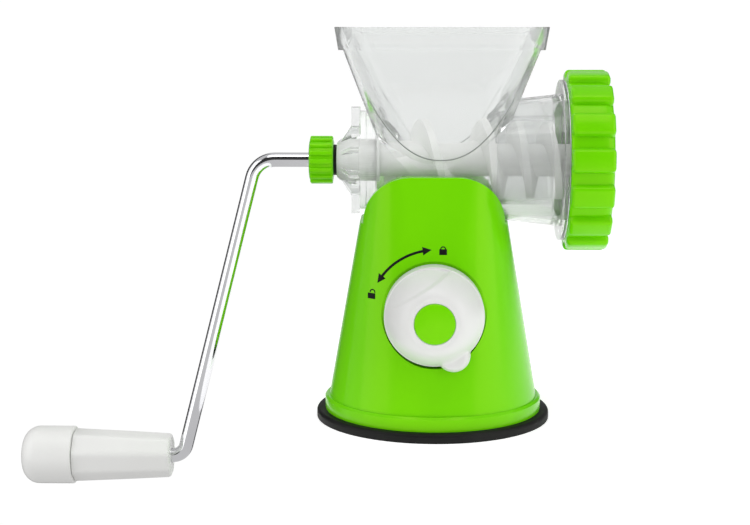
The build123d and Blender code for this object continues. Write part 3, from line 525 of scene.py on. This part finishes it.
# ---------------------------------------------------------------- printed marks on the housing
def printed_marks():
    """A double-headed arrow round the knob, with a closed and an open padlock at its ends."""
    shell = surface_of("base_shell")
    work = bmesh.new()
    lift = 0.02 * MM
    ink_thickness = 0.05 * MM
    before_wall = -0.2  # rays start here, clear of the housing

    def lay(points, rows, columns):
        """Lays a grid of points, given about the knob's axis row by row, on the housing's front."""
        made = []
        for x, z in points:
            start = Vector((x, before_wall, KNOB_HEIGHT + z))
            place, normal, _, _ = shell.ray_cast(start, Vector((0, 1, 0)))
            made.append(work.verts.new(place + normal * lift))
        for row in range(rows):
            for column in range(columns):
                k = row * (columns + 1) + column
                corners = (k, k + 1, k + columns + 2, k + columns + 1)
                work.faces.new([made[corner] for corner in corners])

    def band(middle, radius, width, start, end, steps):
        """A bent strip between two angles."""
        points = []
        for step in range(steps + 1):
            angle = math.radians(start + (end - start) * step / steps)
            for reach in (radius - width / 2, radius, radius + width / 2):
                points.append((middle[0] + reach * math.cos(angle), middle[1] + reach * math.sin(angle)))
        lay(points, steps, 2)

    def triangle(tip, back, half):
        """An arrowhead, divided so that it follows the wall."""
        narrowing = 0.96  # of the half width, so that the tip stays a real edge
        along = Vector(tip) - Vector(back)
        across = Vector((-along.y, along.x)).normalized() * half
        points = []
        rows = 4
        for row in range(rows + 1):
            share = row / rows
            middle = Vector(back) + along * share
            for side in (-1, 0, 1):
                points.append(middle + across * side * (1 - narrowing * share))
        lay(points, rows, 2)

    def block(low, high):
        """A rectangle, divided so that it follows the wall."""
        steps = 4
        wide, tall = high[0] - low[0], high[1] - low[1]
        points = []
        for row in range(steps + 1):
            for column in range(steps + 1):
                points.append((low[0] + wide * column / steps, low[1] + tall * row / steps))
        lay(points, steps, steps)

    def padlock(middle, size, is_open):
        """A padlock's case with its shackle shut, or swung up and aside."""
        x, z = middle
        half_width = 0.42 * size
        bottom = z - 0.5 * size
        top = z + 0.12 * size
        shackle = 0.26 * size
        thickness = 0.12 * size
        block((x - half_width, bottom), (x + half_width, top))
        if is_open:
            band((x + 0.12 * size, z + 0.26 * size), shackle, thickness, -20, 190, 16)
        else:
            band((x, top), shackle, thickness, 0, 180, 16)

    arc = 33.9 * MM
    arc_width = 1.3 * MM
    ends = (146.5, 98.5)  # degrees
    tip_reach = 3.4 * MM  # of an arrowhead, past the arc's end
    tip_overlap = 1.2 * MM  # of an arrowhead, back along the arc
    tip_half_width = 2.2 * MM
    padlock_size = 4.8 * MM
    band((0, 0), arc, arc_width, ends[0], ends[1], 40)
    for angle, way in zip(ends, (1, -1)):
        spot = Vector((math.cos(math.radians(angle)), math.sin(math.radians(angle)))) * arc
        along = Vector((-math.sin(math.radians(angle)), math.cos(math.radians(angle)))) * way
        triangle(spot + along * tip_reach, spot - along * tip_overlap, tip_half_width)
    padlock((4.6 * MM, 33.8 * MM), padlock_size, False)
    padlock((-33.4 * MM, 9.4 * MM), padlock_size, True)
    raised = bmesh.ops.extrude_face_region(work, geom=work.faces[:], use_keep_orig=True)["geom"]
    for part in raised:
        if isinstance(part, bmesh.types.BMVert):
            part.co.y -= ink_thickness
    marks = as_object("housing_print", work, INK)
    ridden(marks, "housing", "black_rubber")


# ---------------------------------------------------------------- suction knob
def suction_knob():
    """A domed knob whose rim runs out into a finger lug, with a slanted crease opposite."""
    low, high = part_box("suction_knob")
    reach = high[0]  # the disc's radius
    back = -high[1]
    front = -low[1]
    face = front - 20 * MM  # the dome's foot
    lowest = face - 0.2 * MM
    rim_inset = 0.5 * MM
    recess = 10.7 * MM  # the cap sits in it
    recess_depth = 2.9 * MM
    recess_edge = 0.3 * MM
    hub = 12.6 * MM
    hub_land = 0.4 * MM
    hub_step = 0.12 * MM
    dome_curve = 1.9
    rim_fall = 0.8 * MM
    rim_fall_curve = 6
    lug_out = 22.2 * MM
    lug_radius = 9.0 * MM
    lug_angle = math.radians(-63)
    lug = Vector((math.cos(lug_angle), math.sin(lug_angle))) * lug_out
    lug_back = face + 0.6 * MM
    lug_height = 6.4 * MM
    lug_curve = 10
    lug_blend = 2.5 * MM
    crease_angle = math.radians(121)
    crease_way = Vector((math.cos(crease_angle), math.sin(crease_angle)))
    crease_reach = 16.4 * MM
    crease_width = 1.3 * MM
    crease_drop = 3.2 * MM
    crease_middle = 0.5  # its strength halfway along, over the full one
    crease_fade = 0.7  # how fast it fades along its length
    turns = 300
    rows = 36

    def outline(angle):
        """The rim's reach at an angle: the disc, or the lug where that goes further."""
        across = lug_out * math.sin(angle - lug_angle)
        along = lug_out * math.cos(angle - lug_angle)
        if abs(across) >= lug_radius or along < 0:
            return reach
        return max(reach, along + math.sqrt(lug_radius**2 - across**2))

    def height(x, z):
        """How far the front stands before the middle plane."""
        r = math.hypot(x, z)
        share = max(0.0, (r - hub) / (reach - hub))
        dome = face + (front - face) * (1 - min(share, 1.0) ** dome_curve)
        dome -= rim_fall * share**rim_fall_curve
        off = math.hypot(x - lug.x, z - lug.y) / lug_radius
        pad = lug_back + lug_height * (1 - min(off, 1.0) ** lug_curve)
        mix = min(max(0.5 + 0.5 * (dome - pad) / lug_blend, 0.0), 1.0)
        tall = pad + (dome - pad) * mix + lug_blend * mix * (1 - mix)
        if off >= 1.0 or r < hub:
            tall = dome
        past = (x * crease_way.x + z * crease_way.y - crease_reach) / crease_width
        past = min(max(past, 0.0), 1.0)
        along = (-x * crease_way.y + z * crease_way.x) / reach  # 1 at the crease's faint end
        strength = min(max(crease_middle - crease_fade * along, 0.0), 1.0)
        return max(tall - crease_drop * strength * past * past * (3 - 2 * past), lowest)

    def rim(edge, last):
        """The rim's outside, from the front's last height to the back: of the disc or of the lug."""
        turned_in = [(edge - 0.15 * MM, last - 0.25 * MM), (edge, last - 0.8 * MM)]
        if edge > reach + 0.01 * MM:
            under = [(edge, lug_back + 0.3 * MM), (edge - 0.3 * MM, lug_back), (reach, lug_back)]
        else:
            under = [(edge, face - 1.2 * MM), (edge, face - 1.3 * MM), (reach, face - 1.4 * MM)]
        return turned_in + under + [(reach, back), (reach - 2.4 * MM, back)]

    work = bmesh.new()
    columns = []
    for step in range(turns):
        angle = 2 * math.pi * step / turns
        way = Vector((math.cos(angle), math.sin(angle)))
        edge = outline(angle)
        column = [
            (recess, front - recess_depth),
            (recess, front - recess_edge),
            (recess + recess_edge, front),
            (hub - hub_land, front),
        ]
        for row in range(rows):
            r = hub + (edge - rim_inset - hub) * row / (rows - 1)
            spot = way * r
            column.append((r, height(spot.x, spot.y) - (hub_step if row == 0 else 0.0)))
        column += rim(edge, column[-1][1])
        columns.append([work.verts.new((way.x * r, -y, KNOB_HEIGHT + way.y * r)) for r, y in column])
    skin_rings(work, columns, hoops=False)
    work.faces.new([column[0] for column in columns])
    work.faces.new([column[-1] for column in columns])
    bmesh.ops.remove_doubles(work, verts=work.verts, dist=0.01 * MM)
    # The knob's darker white is painted shade.
    knob = as_object("knob_dome", work, KNOB_WHITE_PAINTED_SHADE)
    soft_edges(knob, 38)
    ridden(knob, "knob", "white_plastic", "suction_knob")


# ---------------------------------------------------------------- seams between funnel and barrel, drawn as dark beads of painted shade
def bead_along(name, path, radius, sides, material):
    """Geometry Nodes: a round bead that follows the edges of a mesh."""
    tree = bpy.data.node_groups.new(name + "_bead", "GeometryNodeTree")
    tree.interface.new_socket("Edges", in_out="INPUT", socket_type="NodeSocketGeometry")
    thick = tree.interface.new_socket("Radius", in_out="INPUT", socket_type="NodeSocketFloat")
    facets = tree.interface.new_socket("Sides", in_out="INPUT", socket_type="NodeSocketInt")
    finish = tree.interface.new_socket("Finish", in_out="INPUT", socket_type="NodeSocketMaterial")
    tree.interface.new_socket("Geometry", in_out="OUTPUT", socket_type="NodeSocketGeometry")
    given = tree.nodes.new("NodeGroupInput").outputs
    curve = tree.nodes.new("GeometryNodeMeshToCurve")
    profile = tree.nodes.new("GeometryNodeCurvePrimitiveCircle")
    swept = tree.nodes.new("GeometryNodeCurveToMesh")
    real = tree.nodes.new("GeometryNodeRealizeInstances")
    paint = tree.nodes.new("GeometryNodeSetMaterial")
    out = tree.nodes.new("NodeGroupOutput")
    swept.inputs["Fill Caps"].default_value = True
    for source, target in (
        (given["Edges"], curve.inputs[0]),
        (given["Radius"], profile.inputs["Radius"]),
        (given["Sides"], profile.inputs["Resolution"]),
        (curve.outputs[0], swept.inputs["Curve"]),
        (profile.outputs[0], swept.inputs["Profile Curve"]),
        (swept.outputs[0], real.inputs[0]),
        (real.outputs[0], paint.inputs["Geometry"]),
        (given["Finish"], paint.inputs["Material"]),
        (paint.outputs[0], out.inputs[0]),
    ):
        tree.links.new(source, target)
    chosen = ((thick, radius), (facets, sides), (finish, material))
    return grown(path, path.modifiers.new("bead", "NODES"), tree, name, chosen)


def hopper_seam(name, side):
    """The U-shaped moulding line where the funnel runs into the barrel, on one face of the moulding,
    drawn as a dark grey bead: painted shade for the dark line the clear wall shows there.
    """
    skin = surface_of("hopper_body")
    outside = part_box("hopper_body")[1].y + 20 * MM  # rays start here, clear of the moulding
    middle = 3.4 * MM  # the funnel's middle along the barrel
    reach = 38.0 * MM  # to each side of the middle
    bottom = AXIS_HEIGHT + 2.3 * MM
    rise = 32.0 * MM
    rise_curve = 2.2
    bead_radius = 0.36 * MM
    bead_sides = 8
    steps = 64
    line = bmesh.new()
    spots = []
    for step in range(steps + 1):
        across = reach * (2 * step / steps - 1)
        height = bottom + rise * (abs(across) / reach) ** rise_curve
        start = Vector((middle + across, side * outside, height))
        place = skin.ray_cast(start, Vector((0, -side, 0)))[0]
        spots.append(line.verts.new(place))
    for here, there in zip(spots, spots[1:]):
        line.edges.new((here, there))
    # The bead's dark grey is painted shade.
    path = as_object(name + "_path", line, SEAM_PAINTED_SHADE)
    seam = bead_along(name, path, bead_radius, bead_sides, SEAM_PAINTED_SHADE)
    ridden(seam, "housing", "clear_plastic")


# ---------------------------------------------------------------- return spring
def return_coil():
    """A spring with closed ends, made at one length; the real one shortens against the mechanism plate
    as the stem lifts.
    """
    low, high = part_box("return_spring")
    wire = 0.8 * MM  # the wire's radius
    winding = (high.x - low.x) / 2 - wire
    closed = 1.0  # turns at each end
    foot, head = low.z + wire, high.z - wire
    turns = 6.0
    free_climb = (head - foot - 2 * closed * 2 * wire) / (turns - 2 * closed)
    per_turn = 48
    sides = 12

    def climb(turn):
        """Height of the wire's middle after some turns."""
        at_foot = min(turn, closed) * 2 * wire
        free = min(max(turn - closed, 0.0), turns - 2 * closed) * free_climb
        at_head = max(turn - (turns - closed), 0.0) * 2 * wire
        return foot + at_foot + free + at_head

    work = bmesh.new()
    rings = []
    for step in range(int(turns * per_turn) + 1):
        turn = step / per_turn
        angle = 2 * math.pi * turn
        out = Vector((math.cos(angle), math.sin(angle), 0))
        middle = out * winding + Vector((0, 0, climb(turn)))
        ring = []
        for side in range(sides):
            around = 2 * math.pi * side / sides
            spot = middle + (out * math.cos(around) + Vector((0, 0, math.sin(around)))) * wire
            ring.append(work.verts.new(spot))
        rings.append(ring)
    skin_rings(work, rings, endless=False)
    work.faces.new(rings[0])
    work.faces.new(rings[-1])
    coil = as_object("return_coil", work, ZINC)
    ridden(coil, "housing", "zinc_steel", "return_spring")
    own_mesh(coil)


# ---------------------------------------------------------------- eight-sided grip
def grip_sleeve():
    """A tapered octagonal sleeve with rounded ridges, a bore for the rod and softened ends."""
    low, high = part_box("handle_sleeve")
    wide_end, narrow_end = low[0], high[0]
    centre = (low[2] + high[2]) / 2
    wide = (high[2] - low[2]) / 2
    narrow = wide * 25.6 / 30.9  # the two ends' widths
    swell = 0.12 * MM  # halfway along
    bore = 4.05 * MM
    bore_edge = 0.5 * MM
    recess = 9.95 * MM
    recess_depth = 13.5 * MM
    ridge_tilt = math.radians(16)
    turns = 192
    rounding = 28  # higher is crisper

    def ridge(angle):
        """Reach of a rounded octagon over its corner reach."""
        sector = math.pi / 4
        off = (angle + sector / 2) % sector - sector / 2
        sum_of_sides = 0.0
        for k in range(-2, 3):
            flat = math.cos(off - (k + 0.5) * sector) / math.cos(sector / 2)
            sum_of_sides += max(flat, 0.0) ** rounding
        return 1 / sum_of_sides ** (1 / rounding)

    wide_round = ((0.0, 0.5), (0.15, 0.15), (0.5, 0.0))
    narrow_round = ((1.6, -0.05), (0.7, 0.3), (0.2, 0.8), (0.0, 1.6))
    outside = [
        *edge_round(wide_end, 1, wide, wide_round),
        ((wide_end + narrow_end) / 2, (wide + narrow) / 2 + swell),
        *edge_round(narrow_end, -1, narrow, narrow_round),
    ]
    inside = [
        (narrow_end, bore + bore_edge),
        (narrow_end - bore_edge, bore),
        (wide_end + recess_depth, bore),
        (wide_end + recess_depth, recess),
        (wide_end, recess),
    ]
    work = bmesh.new()
    columns = []
    for step in range(turns):
        angle = 2 * math.pi * step / turns
        way = Vector((-math.cos(angle + ridge_tilt), math.sin(angle + ridge_tilt)))
        column = [(x, r * ridge(angle)) for x, r in outside] + inside
        columns.append([work.verts.new((x, way.x * r, centre + way.y * r)) for x, r in column])
    skin_rings(work, columns)
    sleeve = as_object("grip_sleeve", work, WHITE)
    soft_edges(sleeve, 40)
    ridden(sleeve, "grip", "white_plastic", "handle_sleeve")


outlet_nut()
union_nut()
grip_sleeve()
return_coil()
suction_knob()
hopper_seam("front_seam", -1)
hopper_seam("rear_seam", 1)
printed_marks()


# ---------------------------------------------------------------- studio
def plain(name, shade, glow=0.0):
    """A stage surface, with a breath of unevenness."""
    sheet = Sheet(name)
    uneven = sheet.noise(3, detail=2.0)
    return sheet.finish(
        Base_Color=sheet.blend(uneven, (shade, shade, shade), (shade * 0.98,) * 3),
        Roughness=0.6,
        Emission_Color=(1, 1, 1, 1),
        Emission_Strength=glow,
    )


def unseen_by(thing, *rays):
    """Hides a stage piece from some kinds of rays."""
    for ray in rays:
        setattr(thing, "visible_" + ray, False)


def slab(name, low, high, material):
    """A stage slab between two corners."""
    mesh = bpy.data.meshes.new(name)
    work = bmesh.new()
    size = Vector(high) - Vector(low)
    middle = (Vector(high) + Vector(low)) / 2
    stretched = Matrix.Translation(middle) @ Matrix.Diagonal((*size, 1))
    bmesh.ops.create_cube(work, size=1.0, matrix=stretched)
    work.to_mesh(mesh)
    work.free()
    mesh.materials.append(material)
    made = linked(name, mesh)
    return made


def softbox(name, place, size, power):
    """A rectangular light that faces the housing."""
    aim = Vector((0, 0, 0.1))
    light = bpy.data.lights.new(name, "AREA")
    light.shape = "RECTANGLE"
    light.size, light.size_y = size
    light.energy = power
    lamp = linked(name, light)
    lamp.location = place
    lamp.rotation_euler = (aim - Vector(place)).to_track_quat("-Z", "Y").to_euler()


def backdrop():
    """A bright dome that the camera sees, also through clear plastic, but that lights nothing."""
    work = bmesh.new()
    bmesh.ops.create_uvsphere(work, u_segments=48, v_segments=24, radius=5.0)
    dome = as_object("backdrop", work, plain("bright_backdrop", 0.0, glow=1.0))
    unseen_by(dome, "diffuse", "glossy", "shadow")


def tone_cards():
    """A grey card at each side that only clear plastic shows, which gives it its tone."""
    tone = plain("tone_card", 0.05, glow=0.42)
    out, half_depth, foot, head, thickness = 1.3, 0.45, -0.3, 1.2, 0.02
    for side in (-1, 1):
        low = (side * out - thickness / 2, -half_depth, foot)
        high = (low[0] + thickness, half_depth, head)
        card = slab(f"tone_card_{side + 1}", low, high, tone)
        unseen_by(card, "camera", "shadow", "diffuse", "glossy")


def dark_cards():
    """Dark cards that only gloss mirrors, which give the chrome its dark lines."""
    dark = plain("dark_card", 0.02)
    for name, low, high in (
        ("rear_left_card", (-3.2, 0.9, -1.0), (-0.45, 0.92, 1.6)),
        ("rear_right_card", (0.45, 0.9, -1.0), (2.6, 0.92, 1.6)),
        ("front_high_card", (-1.1, -1.02, 0.20), (0.5, -1.00, 2.4)),
    ):
        card = slab(name, low, high, dark)
        unseen_by(card, "camera", "shadow", "diffuse", "transmission")


def studio():
    slab("table", (TABLE_EDGE, -1.2, -0.03), (1.6, 1.6, 0.0), plain("pale_table", 0.9, glow=0.46))
    backdrop()
    tone_cards()
    dark_cards()
    world = bpy.data.worlds.new("studio")
    world.use_nodes = True
    sky = world.node_tree.nodes["Background"]
    sky.inputs["Color"].default_value = (1, 1, 1, 1)
    sky.inputs["Strength"].default_value = 0.62
    bpy.context.scene.world = world
    softbox("left_box", (-0.95, -0.45, 0.35), size=(0.8, 1.2), power=3.2)
    softbox("right_box", (0.95, -0.5, 0.35), size=(0.8, 1.2), power=4.0)
    softbox("top_box", (0.0, -0.35, 1.1), size=(0.9, 0.6), power=3.2)


def camera():
    """In front of the grinder, a little above it, looking slightly down and to the left."""
    down = math.radians(8.7)
    left = math.radians(1.38)
    lens = bpy.data.cameras.new("camera")
    lens.sensor_width = 36
    lens.lens = 73.9
    lens.clip_start = 0.05
    eye = linked("camera", lens)
    eye.location = (-0.012, -0.848, 0.216)
    eye.rotation_euler = (math.radians(90) - down, 0, left)
    bpy.context.scene.camera = eye


studio()
camera()
bpy.context.scene.view_settings.view_transform = "Standard"
